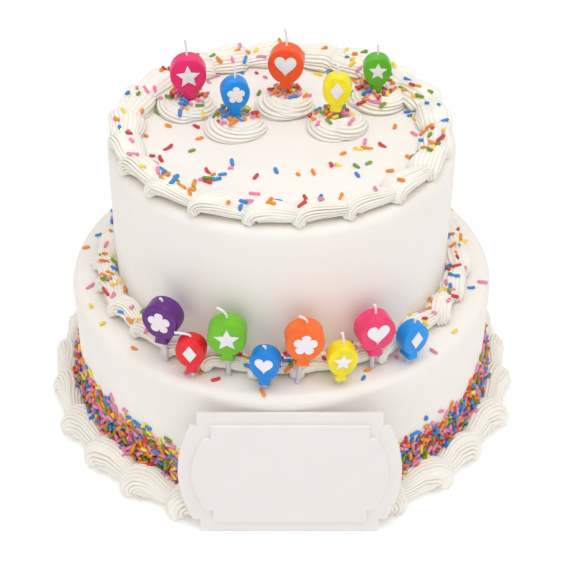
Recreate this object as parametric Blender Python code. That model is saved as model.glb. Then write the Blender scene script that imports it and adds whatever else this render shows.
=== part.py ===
"""A round two-tier cake in white icing, with piped borders, rosettes, candles and a blank plaque.

Metres, +Z up. The origin is on the cake's axis, in the plane that it stands on, and the plaque faces -Y.
Angles are counted from the front (-Y) towards +X.
"""

import math
import random

import bmesh
import bpy
from mathutils import Matrix, Vector

MM = 0.001
FIT_GAP = 0.3 * MM

LOWER_RADIUS = 134 * MM
LOWER_HEIGHT = 92.4 * MM
UPPER_RADIUS = 105 * MM
UPPER_HEIGHT = 93.7 * MM
TIER_EDGE = 5 * MM
TIER_SIDES = 60
EDGE_STEPS = 3

UPPER_FLOOR = LOWER_HEIGHT + FIT_GAP
UPPER_TOP = UPPER_FLOOR + UPPER_HEIGHT

BASE_SHELLS = 26
BASE_SHELL_WIDTH = 19 * MM
BASE_SHELL_HEIGHT = 20 * MM
BASE_PHASE = math.radians(29.1)
SHELF_SHELLS = 28
SHELF_SHELL_WIDTH = 16 * MM
SHELF_SHELL_HEIGHT = 12.5 * MM
SHELF_PHASE = math.radians(3)
RIM_SHELLS = 21
RIM_SHELL_WIDTH = 23 * MM
RIM_SHELL_HEIGHT = 11.5 * MM
RIM_MID_RADIUS = 93 * MM
RIM_PHASE = math.radians(5)
WIDE_SHELL_STATIONS = 5
SLIM_SHELL_STATIONS = 4
SHELL_WAIST = 0.76

ROSETTE_RADIUS = 19 * MM
ROSETTE_HEIGHT = 9.8 * MM
ROSETTE_LOBES = 9
ROSETTE_REACH = RIM_MID_RADIUS - RIM_SHELL_WIDTH / 2 - FIT_GAP
ROSETTE_PLACES = ((-59.5, 29.5), (-27.5, 6), (1.5, 33), (33, 8), (60, 40))

SPRINKLE_LENGTH = 6.5 * MM
SPRINKLE_RADIUS = 1.05 * MM
SPRINKLE_SIDES = 5
BAND_LOW = 19 * MM
BAND_HIGH = 46 * MM
BAND_SPRINKLES = 48
RIM_SPRINKLES = 28
SHELF_SPRINKLES = 20
TOP_SPRINKLES = 6

PLAQUE_HEIGHT = 84 * MM
PLAQUE_SHOULDER = 53.2 * MM
PLAQUE_CORNER = 57.3 * MM
PLAQUE_NOTCH = 8.7 * MM
PLAQUE_BOW = 8 * MM
PLAQUE_FLANGE = 2.4 * MM
PLAQUE_PANEL = 2.0 * MM
PLAQUE_MARGIN = 7.6 * MM
PLAQUE_LEAN = math.radians(8.2)
PLAQUE_FOOT = 148.9 * MM
PLAQUE_ASIDE = 4.8 * MM
PLAQUE_ARC_STEPS = 5

BIG = {
    "width": 22 * MM,
    "height": 22.4 * MM,
    "thick": 11.6 * MM,
    "neck": 4.1 * MM,
    "stub": 4.3 * MM,
}
SMALL = {
    "width": 17.2 * MM,
    "height": 18.9 * MM,
    "thick": 9.8 * MM,
    "neck": 3.4 * MM,
    "stub": 4.0 * MM,
}
WAX_EDGE = 1.1 * MM
BALLOON_STEPS = 8
PICK_RADIUS = 1.6 * MM
PICK_SIDES = 6
PICK_DEPTH = 18 * MM
WICK_RADIUS = 0.75 * MM
WICK_SIDES = 5

# Candles on the shelf: size, angle, radius, facing angle, bare pick, lean to the right, wick end (right, up).
SHELF_CANDLES = {
    "purple": (BIG, -33.7, 121.5, -20, 17.4, 0, (-1.5, 1.2)),
    "red": (SMALL, -24.0, 125.0, -9, 6.3, -1, (-9.0, 0.8)),
    "green": (BIG, -15.0, 117.8, -2, 15.5, 0, (-5.5, 7.0)),
    "blue": (SMALL, -4.3, 125.0, -11, 6.1, 1, (-1.6, 0.8)),
    "orange": (BIG, 4.3, 120.8, 5, 17.3, 6.5, (-4.8, 4.2)),
    "yellow": (SMALL, 15.1, 125.0, 8, 5.7, 4, (-1.4, 8.2)),
    "pink": (BIG, 26.0, 119.2, 18, 13.4, 1, (-1.0, 6.2)),
    "azure": (SMALL, 36.0, 125.0, 30, 4.8, 6.5, (0.4, 2.6)),
}
# Candles on the rosettes, left to right: size, place, facing angle, bare pick, lean, wick end.
ROSETTE_CANDLES = {
    "rose": (BIG, (-56.5, 28.8), 4, 0.7, -1.5, (-0.6, 10.4)),
    "sky": (SMALL, (-28.4, 7.4), 10, 0.7, 2, (-1.0, 8.2)),
    "coral": (BIG, (2.6, 36.3), -6, 3.6, 1, (-1.4, 11.0)),
    "lemon": (SMALL, (32.2, 7.6), -4, 3.2, 3, (-0.6, 5.5)),
    "lime": (SMALL, (58.5, 37.4), 2, 0.7, 1, (-0.4, 6.8)),
}

COLOURS = {
    "icing": (0.93, 0.90, 0.85),
    "cream": (0.93, 0.89, 0.80),
    "plaque": (0.90, 0.87, 0.86),
    "pick": (0.86, 0.84, 0.93),
    "wick": (0.93, 0.92, 0.92),
    "purple": (0.11, 0.03, 0.22),
    "red": (0.78, 0.02, 0.04),
    "green": (0.22, 0.62, 0.03),
    "blue": (0.01, 0.19, 0.72),
    "orange": (0.95, 0.16, 0.03),
    "yellow": (0.90, 0.77, 0.02),
    "pink": (0.86, 0.06, 0.18),
    "azure": (0.02, 0.26, 0.80),
    "rose": (0.80, 0.02, 0.14),
    "sky": (0.00, 0.22, 0.80),
    "coral": (0.95, 0.10, 0.02),
    "lemon": (0.93, 0.78, 0.02),
    "lime": (0.13, 0.52, 0.02),
}


def clear_scene():
    for obj in list(bpy.data.objects):
        bpy.data.objects.remove(obj, do_unlink=True)


def material(name, roughness):
    """A Principled material of that name's colour, made once."""
    found = bpy.data.materials.get(name)
    if found:
        return found
    made = bpy.data.materials.new(name)
    made.use_nodes = True
    shader = made.node_tree.nodes["Principled BSDF"]
    shader.inputs["Base Color"].default_value = (*COLOURS[name], 1)
    shader.inputs["Roughness"].default_value = roughness
    shader.inputs["Metallic"].default_value = 0
    return made


def solid(name, points, faces, finish=None, smooth_below=50):
    """A named mesh object from points and faces, its normals facing out."""
    mesh = bpy.data.meshes.new(name)
    mesh.from_pydata([tuple(p) for p in points], [], faces)
    work = bmesh.new()
    work.from_mesh(mesh)
    bmesh.ops.recalc_face_normals(work, faces=work.faces)
    work.to_mesh(mesh)
    work.free()
    mesh.shade_smooth()
    mesh.set_sharp_from_angle(angle=math.radians(smooth_below))
    obj = bpy.data.objects.new(name, mesh)
    bpy.context.scene.collection.objects.link(obj)
    if finish:
        mesh.materials.append(finish)
    return obj


def lofted(rings, wrap=False, caps=True):
    """Points and faces of a skin over equal rings of points, wrapped into a loop or capped."""
    count = len(rings[0])
    points = [p for ring in rings for p in ring]
    faces = []
    for i in range(len(rings) if wrap else len(rings) - 1):
        here, there = i * count, (i + 1) % len(rings) * count
        for k in range(count):
            after = (k + 1) % count
            faces.append((here + k, here + after, there + after, there + k))
    if caps and not wrap:
        faces.append(tuple(range(count))[::-1])
        faces.append(tuple(range(len(points) - count, len(points))))
    return points, faces


def polar(radius, angle, z):
    return Vector((radius * math.sin(angle), -radius * math.cos(angle), z))


def fuse(base, pieces):
    """One Boolean union of the base with all the pieces, which are then removed."""
    group = bpy.data.collections.new(base.name + "_pieces")
    bpy.context.scene.collection.children.link(group)
    for piece in pieces:
        bpy.context.scene.collection.objects.unlink(piece)
        group.objects.link(piece)
    union = base.modifiers.new("Union", "BOOLEAN")
    union.operation = "UNION"
    union.operand_type = "COLLECTION"
    union.collection = group
    union.solver = "MANIFOLD"
    apply_modifiers(base)
    for piece in pieces:
        bpy.data.objects.remove(piece, do_unlink=True)
    bpy.data.collections.remove(group)


def apply_modifiers(obj):
    graph = bpy.context.evaluated_depsgraph_get()
    made = bpy.data.meshes.new_from_object(obj.evaluated_get(graph))
    obj.modifiers.clear()
    obj.data = made


def bore(obj, foot, depth_axis, length):
    """Cuts the hole that a candle's pick is pushed into."""
    cutter = prism("cutter", PICK_RADIUS + FIT_GAP, length, PICK_SIDES)
    cutter.matrix_world = Matrix.Translation(foot) @ depth_axis
    cutter.hide_render = True
    cutter.display_type = "WIRE"
    cut = obj.modifiers.new("Pick hole", "BOOLEAN")
    cut.operation = "DIFFERENCE"
    cut.object = cutter
    bpy.context.view_layer.update()
    apply_modifiers(obj)
    bpy.data.objects.remove(cutter, do_unlink=True)


def prism(name, radius, length, sides, finish=None):
    """A regular prism that runs from the origin up its own Z."""
    rings = [
        [Vector((radius * math.cos(a), radius * math.sin(a), z)) for a in turns(sides)]
        for z in (0, length)
    ]
    return solid(name, *lofted(rings), finish, smooth_below=61)


def turns(count, start=0.0):
    return [start + math.tau * k / count for k in range(count)]


def tier(name, radius, floor, height):
    """An iced cylinder with a rounded top edge."""
    outline = [(radius, floor)]
    for step in range(EDGE_STEPS + 1):
        angle = math.pi / 2 * step / EDGE_STEPS
        out = radius - TIER_EDGE + TIER_EDGE * math.cos(angle)
        up = floor + height - TIER_EDGE + TIER_EDGE * math.sin(angle)
        outline.append((out, up))
    rings = [[polar(r, a, z) for a in turns(TIER_SIDES)] for r, z in outline]
    return solid(name, *lofted(rings), material("icing", 0.5))


def shell_swell(along):
    """How far a piped shell stands out along its pitch: a full head, then a taper to the next one."""
    head = math.sin(math.pi * min(along / 0.5, 1)) if along < 0.25 else 1.0
    tail = 1 - max(along - 0.25, 0) / 0.75
    return SHELL_WAIST + (1 - SHELL_WAIST) * head * tail**0.8


def leaned_limit(z):
    """How far forward piping may reach behind the plaque, at that height."""
    back = PLAQUE_FOOT - PLAQUE_FLANGE / math.cos(PLAQUE_LEAN)
    return back - z * math.tan(PLAQUE_LEAN) - FIT_GAP


def pressed(point, half_width):
    """A point of the base border, pressed in where the plaque leans on it."""
    limit = leaned_limit(point.z)
    if point.y < -limit and abs(point.x - PLAQUE_ASIDE) < half_width:
        return Vector((point.x, -limit, point.z))
    return point


def crested_section(width, height, seat):
    """Radius and height round the base border's section: its crest stands off the wall."""
    section = [(seat, 0), (seat + width, 0)]
    for share, rise in ((0.97, 0.34), (0.84, 0.68), (0.62, 0.92), (0.38, 1.0), (0.0, 0.72)):
        section.append((seat + width * share, height * rise))
    return section


def corner_section(width, height, seat, floor, count):
    """Radius and height round a border's section that fills the corner between a wall and a floor."""
    steps = count - 2
    bulge = []
    for k in range(steps + 1):
        angle = math.pi / 2 * k / steps
        out, up = math.cos(angle) ** 0.8, math.sin(angle) ** 0.9
        bulge.append((seat + width * out, floor + height * up))
    return [(seat, floor), *bulge]


def mound_section(width, height, mid, floor, count):
    """Radius and height round a border's section that lies on a flat top."""
    section = []
    for k in range(count):
        angle = math.pi * k / (count - 1)
        section.append((mid + width / 2 * math.cos(angle), floor + height * math.sin(angle) ** 0.8))
    return section


def border(name, shells, stations, phase, section, fit=lambda p: p):
    """A closed ring of piped shells. section gives the ring's outline for a swell from 0 to 1."""
    rings = []
    for n in range(shells * stations):
        along = n % stations / stations
        angle = phase + math.tau * n / (shells * stations)
        rings.append([fit(polar(r, angle, z)) for r, z in section(shell_swell(along))])
    return solid(name, *lofted(rings, wrap=True), material("cream", 0.55))


def base_border():
    seat = LOWER_RADIUS + FIT_GAP

    def section(swell):
        return crested_section(BASE_SHELL_WIDTH * swell, BASE_SHELL_HEIGHT * swell, seat)

    def fit(point):
        return pressed(point, PLAQUE_CORNER + PLAQUE_BOW)

    return border("base_border", BASE_SHELLS, WIDE_SHELL_STATIONS, BASE_PHASE, section, fit)


def shelf_section(swell):
    seat, floor = UPPER_RADIUS + FIT_GAP, LOWER_HEIGHT + FIT_GAP
    return corner_section(SHELF_SHELL_WIDTH * swell, SHELF_SHELL_HEIGHT * swell, seat, floor, 6)


def rim_section(swell):
    width, height = RIM_SHELL_WIDTH * swell, RIM_SHELL_HEIGHT * swell
    return mound_section(width, height, RIM_MID_RADIUS, UPPER_TOP + FIT_GAP, 8)


def rosette_height(share):
    """A rosette's height at a share of its radius: a full, rounded coil."""
    return ROSETTE_HEIGHT * math.sqrt(max(0.0, 1 - share**2.6))


def rosette(name, place):
    """A star-piped rosette: lobed rings that turn as they rise, held inside the rim's border."""
    shares = (1.0, 0.94, 0.72, 0.42, 0.14)
    rings = []
    for level, share in enumerate(shares):
        ring = []
        for a in turns(ROSETTE_LOBES * 2, level * 0.12):
            lobe = 1 + 0.03 * math.cos(ROSETTE_LOBES * (a - level * 0.12)) * share
            r = ROSETTE_RADIUS * share * lobe
            point = place + Vector((r * math.cos(a), r * math.sin(a), rosette_height(share)))
            held = min(1, ROSETTE_REACH / point.xy.length)
            ring.append(Vector((point.x * held, point.y * held, point.z)))
        rings.append(ring)
    return solid(name, *lofted(rings), material("cream", 0.55))


def sprinkle(at, normal, draw, sunk=0.35):
    """One sugar strand lying on a surface: a short rod, partly sunk."""
    length = SPRINKLE_LENGTH * draw.uniform(0.75, 1.15)
    piece = prism("sprinkle", SPRINKLE_RADIUS, length, SPRINKLE_SIDES)
    tangent = normal.orthogonal().normalized()
    tangent.rotate(Matrix.Rotation(draw.uniform(0, math.tau), 3, normal))
    lie = tangent.to_track_quat("Z", "Y").to_matrix().to_4x4()
    centre = at + normal * SPRINKLE_RADIUS * (1 - 2 * sunk)
    piece.data.transform(Matrix.Translation(centre) @ lie @ Matrix.Translation((0, 0, -length / 2)))
    return piece


def band_sprinkles(draw):
    """Strands pressed on the lower tier's wall, spread evenly above the base border."""
    made = []
    for n in range(BAND_SPRINKLES):
        angle = math.tau * (n + draw.uniform(-0.25, 0.25)) / BAND_SPRINKLES
        share = (n * 0.618) % 1
        z = BAND_LOW + (BAND_HIGH - BAND_LOW) * share + 3 * MM
        made.append(sprinkle(polar(LOWER_RADIUS, angle, z), polar(1, angle, 0), draw))
    return made


def crest_sprinkles(draw, count, shells, phase, section, crest):
    """Strands on the crests of a border's shells. crest is the point of the section that they lie on."""
    made = []
    pitch = math.tau / shells
    for n in range(count):
        shell = round(n * shells / count)
        angle = phase + pitch * (shell + 0.4 + draw.uniform(-0.12, 0.12))
        r, z = section(shell_swell(0.4))[crest]
        before, after = section(shell_swell(0.4))[crest - 1], section(shell_swell(0.4))[crest + 1]
        slope = Vector((after[0] - before[0], after[1] - before[1])).normalized()
        normal = (polar(1, angle, 0) * slope.y + Vector((0, 0, -slope.x))).normalized()
        if normal.z < 0:
            normal = -normal
        made.append(sprinkle(polar(r, angle, z), normal, draw, 0.45))
    return made


def flat_sprinkles(draw, count):
    """Strands lying loose on the front of the upper tier's top."""
    made = []
    for n in range(count):
        angle = math.radians(-75 + 150 * n / (count - 1))
        place = polar(draw.uniform(52, 62) * MM, angle, UPPER_TOP)
        made.append(sprinkle(place, Vector((0, 0, 1)), draw))
    return made


def rosette_sprinkles(draw, place):
    """Strands round the foot of the candle on a rosette, on its side toward the cake's middle."""
    made = []
    share = 0.64
    inward = math.atan2(-place.y, -place.x)
    for turn in (-100, 0, 100):
        a = inward + math.radians(turn + draw.uniform(-15, 15))
        out = Vector((math.cos(a), math.sin(a), 0))
        at = place + out * ROSETTE_RADIUS * share + Vector((0, 0, rosette_height(share)))
        made.append(sprinkle(at, (out * 0.4 + Vector((0, 0, 1))).normalized(), draw, 0.5))
    return made


def balloon_outline(size):
    """Half width and height up a balloon's face: up its right side from the stub, then down its left."""
    half, rise, neck, stub = size["width"] / 2, size["height"], size["neck"], size["stub"]
    below = rise - half
    start = math.asin(min(1, neck * 0.82 / half))
    right = [(neck, 0), (neck * 0.82, stub)]
    for step in range(1, BALLOON_STEPS):
        angle = start + (math.pi - start) * step / BALLOON_STEPS
        x = half * math.sin(angle)
        drop = -math.cos(angle)
        up = half * drop if drop > 0 else below * drop * (1 - 0.12 * drop)
        right.append((x, stub + below + up))
    crown = [(0, stub + rise)]
    return right + crown + [(-x, z) for x, z in reversed(right)]


def wax_balloon(name, size):
    """A balloon-shaped candle: its outline through its thickness, with the face and back edges eased."""
    outline = balloon_outline(size)
    middle = Vector((0, size["stub"] + size["height"] * 0.5))
    thick = size["thick"] / 2
    rings = []
    side = thick - WAX_EDGE
    for depth, inset in ((-thick, WAX_EDGE), (-side, 0), (side, 0), (thick, WAX_EDGE)):
        shrink = 1 - inset / (size["width"] / 2)
        ring = []
        for x, z in outline:
            lift = z if z == 0 else middle.y + (z - middle.y) * shrink
            ring.append(Vector((x * shrink, depth, lift)))
        rings.append(ring)
    return solid(name, *lofted(rings), material(name.split("_")[1], 0.35))


def wick(name, size, end):
    """A short wick that rises out of the crown and bends to its end point."""
    right, up = end[0] * MM, end[1] * MM
    crown = Vector((0, 0, size["stub"] + size["height"] + FIT_GAP))
    knee = crown + Vector((right * 0.25, 0, max(up * 0.45, 1.2 * MM)))
    tip = crown + Vector((right, 0, max(up, 1.6 * MM)))
    rings = []
    for at, lean in ((crown, 0.0), (knee, 0.5), (tip, 1.0)):
        away = math.atan2(right, max(up, 1.0 * MM)) * lean
        side = Vector((math.cos(away), 0, -math.sin(away)))
        front = Vector((0, WICK_RADIUS, 0))
        across = side * WICK_RADIUS
        rings.append([at + across * math.cos(a) + front * math.sin(a) for a in turns(WICK_SIDES)])
    return solid(name, *lofted(rings), material("wick", 0.8))


def candle(name, size, foot, facing, lean, bare, end):
    """A balloon candle on its pick, which enters the cake at foot. It returns the pick's own frame."""
    stand = Matrix.Rotation(math.radians(facing), 4, "Z") @ Matrix.Rotation(math.radians(lean), 4, "Y")
    place = Matrix.Translation(foot) @ stand
    head = place @ Matrix.Translation((0, 0, bare))
    wax = wax_balloon("candle_" + name, size)
    wax.matrix_world = head
    tip = wick("wick_" + name, size, end)
    tip.matrix_world = head
    length = PICK_DEPTH + bare - FIT_GAP
    pick = prism("pick_" + name, PICK_RADIUS, length, PICK_SIDES, material("pick", 0.2))
    pick.matrix_world = place @ Matrix.Translation((0, 0, -PICK_DEPTH))
    return stand


def plaque_outline(inset):
    """The plaque's outline, seen from the front: stepped corners and bowed sides, drawn in by inset."""
    shoulder, corner = PLAQUE_SHOULDER - inset, PLAQUE_CORNER - inset
    top, low = PLAQUE_HEIGHT - inset, inset
    high_step, low_step = PLAQUE_HEIGHT - PLAQUE_NOTCH - inset, PLAQUE_NOTCH + inset
    side = []
    for step in range(PLAQUE_ARC_STEPS + 1):
        share = step / PLAQUE_ARC_STEPS
        bow = PLAQUE_BOW * 4 * share * (1 - share)
        side.append((corner + bow, low_step + (high_step - low_step) * share))
    right = [(shoulder, low), (shoulder, low_step), *side, (shoulder, high_step), (shoulder, top)]
    return right + [(-x, z) for x, z in reversed(right)]


def plaque():
    """A blank plaque with a raised panel, leaning back on the lower tier."""
    rings = []
    for depth, inset in (
        (0, 0),
        (PLAQUE_FLANGE, 0),
        (PLAQUE_FLANGE, PLAQUE_MARGIN),
        (PLAQUE_FLANGE + PLAQUE_PANEL, PLAQUE_MARGIN + 0.8 * MM),
    ):
        rings.append([Vector((x, -depth, z)) for x, z in plaque_outline(inset)])
    board = solid("plaque", *lofted(rings), material("plaque", 0.45), smooth_below=30)
    lean = Matrix.Rotation(-PLAQUE_LEAN, 4, "X")
    board.matrix_world = Matrix.Translation((PLAQUE_ASIDE, -PLAQUE_FOOT + PLAQUE_FLANGE, 0)) @ lean


def main():
    clear_scene()
    draw = random.Random(7)
    lower = tier("lower_tier", LOWER_RADIUS, 0, LOWER_HEIGHT)
    upper = tier("upper_tier", UPPER_RADIUS, UPPER_FLOOR, UPPER_HEIGHT)
    fuse(lower, band_sprinkles(draw))
    fuse(upper, flat_sprinkles(draw, TOP_SPRINKLES))

    base_border()
    shelf = border("shelf_border", SHELF_SHELLS, SLIM_SHELL_STATIONS, SHELF_PHASE, shelf_section)
    fuse(shelf, crest_sprinkles(draw, SHELF_SPRINKLES, SHELF_SHELLS, SHELF_PHASE, shelf_section, 3))
    rim = border("rim_border", RIM_SHELLS, WIDE_SHELL_STATIONS, RIM_PHASE, rim_section)
    fuse(rim, crest_sprinkles(draw, RIM_SPRINKLES, RIM_SHELLS, RIM_PHASE, rim_section, 4))

    for name, (size, angle, radius, facing, bare, lean, end) in SHELF_CANDLES.items():
        foot = polar(radius * MM, math.radians(angle), LOWER_HEIGHT)
        stand = candle(name, size, foot, facing, lean, bare * MM, end)
        sink = stand @ Matrix.Translation((0, 0, -PICK_DEPTH - FIT_GAP))
        bore(lower, foot, sink, PICK_DEPTH + 20 * MM)
        bore(shelf, foot, sink, PICK_DEPTH + 20 * MM)

    for n, (name, (size, spot, facing, bare, lean, end)) in enumerate(ROSETTE_CANDLES.items()):
        x, y = ROSETTE_PLACES[n]
        place = Vector((x * MM, y * MM, UPPER_TOP + FIT_GAP))
        swirl = rosette(f"rosette_{n + 1}", place)
        fuse(swirl, rosette_sprinkles(draw, place))
        foot = Vector((spot[0] * MM, spot[1] * MM, place.z + ROSETTE_HEIGHT))
        stand = candle(name, size, foot, facing, lean, bare * MM, end)
        sink = stand @ Matrix.Translation((0, 0, -PICK_DEPTH - FIT_GAP))
        bore(swirl, foot, sink, PICK_DEPTH + 8 * MM)
        bore(upper, foot, sink, PICK_DEPTH + 8 * MM)

    plaque()


main()
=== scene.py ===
"""Looks of the two-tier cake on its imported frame: icing, piping, sugar strands, candles and plaque."""

import math
import random

import bmesh
import bpy
import numpy as np
from mathutils import Matrix, Vector
from mathutils.bvhtree import BVHTree


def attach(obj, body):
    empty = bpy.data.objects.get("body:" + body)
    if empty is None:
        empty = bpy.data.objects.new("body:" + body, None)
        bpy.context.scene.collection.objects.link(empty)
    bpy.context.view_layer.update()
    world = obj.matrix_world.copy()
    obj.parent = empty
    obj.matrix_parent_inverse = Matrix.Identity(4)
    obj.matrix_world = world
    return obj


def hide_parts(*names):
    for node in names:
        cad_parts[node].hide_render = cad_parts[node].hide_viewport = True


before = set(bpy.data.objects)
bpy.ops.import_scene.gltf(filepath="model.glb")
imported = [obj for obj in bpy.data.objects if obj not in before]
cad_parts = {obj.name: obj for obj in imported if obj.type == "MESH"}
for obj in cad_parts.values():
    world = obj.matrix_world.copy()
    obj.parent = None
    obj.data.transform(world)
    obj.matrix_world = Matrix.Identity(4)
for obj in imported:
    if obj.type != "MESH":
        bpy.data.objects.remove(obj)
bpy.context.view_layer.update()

MM = 0.001

LOWER_RADIUS = 134 * MM
LOWER_HEIGHT = 92.4 * MM
UPPER_RADIUS = 105 * MM
UPPER_FLOOR = LOWER_HEIGHT + 0.3 * MM
UPPER_TOP = UPPER_FLOOR + 93.7 * MM
TIER_EDGE = 5 * MM
WALL_DENT = 0.045 * MM
TOP_DIP = 0.12 * MM

PIPING_GAP = 0.2 * MM
BASE_SHELLS = 26
BASE_PHASE = math.radians(29.1)
SHELF_SHELLS = 28
SHELF_PHASE = math.radians(3)
RIM_SHELLS = 21
RIM_PHASE = math.radians(5)
RIM_MID_RADIUS = 93 * MM

ROSETTE_RADIUS = 19 * MM
ROSETTE_HEIGHT = 9.8 * MM
ROSETTE_TURNS = 2.0
ROSETTE_PLACES = ((-59.5, 29.5), (-27.5, 6), (1.5, 33), (33, 8), (60, 40))

PLAQUE_HEIGHT = 84 * MM
PLAQUE_SHOULDER = 53.2 * MM
PLAQUE_CORNER = 57.3 * MM
PLAQUE_NOTCH = 8.7 * MM
PLAQUE_BOW = 8 * MM
PLAQUE_FLANGE = 2.4 * MM
PLAQUE_PANEL = 2.0 * MM
PLAQUE_MARGIN = 7.6 * MM
PLAQUE_LEAN = math.radians(8.2)
PLAQUE_FOOT = 148.9 * MM
PLAQUE_ASIDE = 4.8 * MM

BIG = {"width": 22 * MM, "height": 22.4 * MM, "thick": 11.6 * MM, "neck": 4.1 * MM, "stub": 4.3 * MM}
SMALL = {"width": 17.2 * MM, "height": 18.9 * MM, "thick": 9.8 * MM, "neck": 3.4 * MM, "stub": 4.0 * MM}
PICK_DEPTH = 18 * MM

WAX_EDGE = 1.25 * MM
MARK_REACH = 0.315

# Candles on the shelf, left to right, in degrees and millimetres: size, angle, radius, facing angle,
# bare pick, lean to the right, wick end (right, up), mark.
SHELF_CANDLES = {
    "purple": (BIG, -33.7, 121.5, -20, 17.4, 0, (-1.5, 1.2), "flower"),
    "red": (SMALL, -24.0, 125.0, -9, 6.3, -1, (-9.0, 0.8), "diamond"),
    "green": (BIG, -15.0, 117.8, -2, 15.5, 0, (-5.5, 7.0), "star"),
    "blue": (SMALL, -4.3, 125.0, -11, 6.1, 1, (-1.6, 0.8), "heart"),
    "orange": (BIG, 4.3, 120.8, 5, 17.3, 6.5, (-4.8, 4.2), "flower"),
    "yellow": (SMALL, 15.1, 125.0, 8, 5.7, 4, (-1.4, 8.2), "star"),
    "pink": (BIG, 26.0, 119.2, 18, 13.4, 1, (-1.0, 6.2), "heart"),
    "azure": (SMALL, 36.0, 125.0, 30, 4.8, 6.5, (0.4, 2.6), "diamond"),
}
# Candles on the rosettes, left to right: size, place, facing angle, bare pick, lean, wick end, mark.
ROSETTE_CANDLES = {
    "rose": (BIG, (-56.5, 28.8), 4, 0.7, -1.5, (-0.6, 10.4), "star"),
    "sky": (SMALL, (-28.4, 7.4), 10, 0.7, 2, (-1.0, 8.2), "flower"),
    "coral": (BIG, (2.6, 36.3), -6, 3.6, 1, (-1.4, 11.0), "heart"),
    "lemon": (SMALL, (32.2, 7.6), -4, 3.2, 3, (-0.6, 5.5), "diamond"),
    "lime": (SMALL, (58.5, 37.4), 2, 0.7, 1, (-0.4, 6.8), "star"),
}
WAX_COLOURS = {
    "purple": (0.125, 0.018, 0.215),
    "red": (0.83, 0.012, 0.025),
    "green": (0.16, 0.52, 0.012),
    "blue": (0.002, 0.235, 0.72),
    "orange": (1.0, 0.17, 0.02),
    "yellow": (0.90, 0.76, 0.015),
    "pink": (0.86, 0.045, 0.17),
    "azure": (0.008, 0.29, 0.79),
    "rose": (0.86, 0.02, 0.165),
    "sky": (0.0, 0.28, 0.80),
    "coral": (1.0, 0.095, 0.012),
    "lemon": (0.93, 0.80, 0.012),
    "lime": (0.11, 0.48, 0.012),
}
STRAND_COLOURS = {
    "pink": (0.80, 0.27, 0.44),
    "blue": (0.045, 0.25, 0.64),
    "orange": (0.86, 0.29, 0.03),
    "yellow": (0.96, 0.70, 0.09),
    "green": (0.20, 0.32, 0.035),
    "red": (0.60, 0.05, 0.045),
}
STRAND_SHARES = {"pink": 0.24, "blue": 0.18, "orange": 0.20, "yellow": 0.11, "green": 0.13, "red": 0.14}
STRAND_LENGTHS = (3.7, 4.5, 5.2, 5.8, 6.5, 7.6)
STRAND_BENDS = (0, 0, 0.1, 0.25, 0.5)
# The band's layers: places tried, least spacing in mm, how far an axis stands off in its radius, and tilt.
BAND_LAYERS = ((6400, 2.1, 0.5, 0.2), (4200, 2.6, 1.9, 0.5), (2000, 3.8, 3.2, 0.7))

# The camera, fitted to the tiers' ellipses in the 576-pixel photo.
PHOTO_WIDTH = 576
FOCAL_PIXELS = 1300
SHIFT_PIXELS = 6.4
CAMERA_PITCH = math.radians(36.9)
CAMERA_REACH = 854.1 * MM
CAMERA_AIM = 69.9 * MM
# Softboxes: name, place, aim, width, height and watts.
SOFTBOXES = (
    ("overhead", (0.1, -0.45, 1.45), (0, 0, 0.1), 1.1, 1.1, 9.4),
    ("left_bank", (-1.3, -0.7, 0.9), (0, 0, 0.1), 0.9, 0.9, 1.1),
    ("right_bank", (1.3, -0.6, 0.9), (0, 0, 0.1), 0.9, 0.9, 0.9),
    ("back_bank", (0, 1.3, 1.3), (0, 0, 0.15), 1.5, 0.8, 2.4),
)


def polar(radius, angle, z):
    """A point at an angle round the cake, counted from its front towards +X."""
    return Vector((radius * math.sin(angle), -radius * math.cos(angle), z))


def mesh_object(name, points, faces, look, *, sharp=None):
    """A shaded mesh object that rides on the cake."""
    mesh = bpy.data.meshes.new(name)
    mesh.from_pydata([tuple(p) for p in points], [], faces)
    mesh.validate()
    mesh.shade_smooth()
    if sharp:
        mesh.set_sharp_from_angle(angle=math.radians(sharp))
    obj = bpy.data.objects.new(name, mesh)
    bpy.context.scene.collection.objects.link(obj)
    mesh.materials.append(look)
    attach(obj, "root")
    return obj


def lofted(rings, caps=True):
    """Points and faces of a skin through rings of equal count, closed at both ends where caps is true."""
    count = len(rings[0])
    points = [p for ring in rings for p in ring]
    faces = []
    for i in range(len(rings) - 1):
        here, there = i * count, (i + 1) * count
        for k in range(count):
            after = (k + 1) % count
            faces.append((here + k, here + after, there + after, there + k))
    if caps:
        faces.append(tuple(range(count))[::-1])
        faces.append(tuple(range(len(points) - count, len(points))))
    return points, faces


def faced_out(obj, *, weld=0.0):
    """Turns every face outward, with points closer than weld joined first."""
    work = bmesh.new()
    work.from_mesh(obj.data)
    if weld:
        bmesh.ops.remove_doubles(work, verts=work.verts, dist=weld)
    bmesh.ops.recalc_face_normals(work, faces=work.faces)
    work.to_mesh(obj.data)
    work.free()


class Heap:
    """Many small bodies gathered as one mesh. Piping also carries how deep each point lies in a groove,
    which the cream uses to paint shade into its grooves.
    """

    def __init__(self):
        self.points, self.faces, self.grooves, self.count = [], [], [], 0

    def add(self, points, faces, grooves=None):
        points = np.asarray(points, float)
        self.points.append(points)
        if grooves is not None:
            self.grooves.append(grooves)
        self.faces.extend(tuple(i + self.count for i in face) for face in faces)
        self.count += len(points)

    def stacked(self):
        return np.concatenate(self.points)

    def object(self, name, look, points=None):
        """The heap as one object. points, where given, take the place of its own."""
        obj = mesh_object(name, self.stacked() if points is None else points, self.faces, look)
        if self.grooves:
            layer = obj.data.attributes.new("groove", "FLOAT", "POINT")
            layer.data.foreach_set("value", np.concatenate(self.grooves).astype(np.float32))
        return obj


def smoothstep(t):
    t = max(0.0, min(1.0, t))
    return t * t * (3 - 2 * t)


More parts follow.
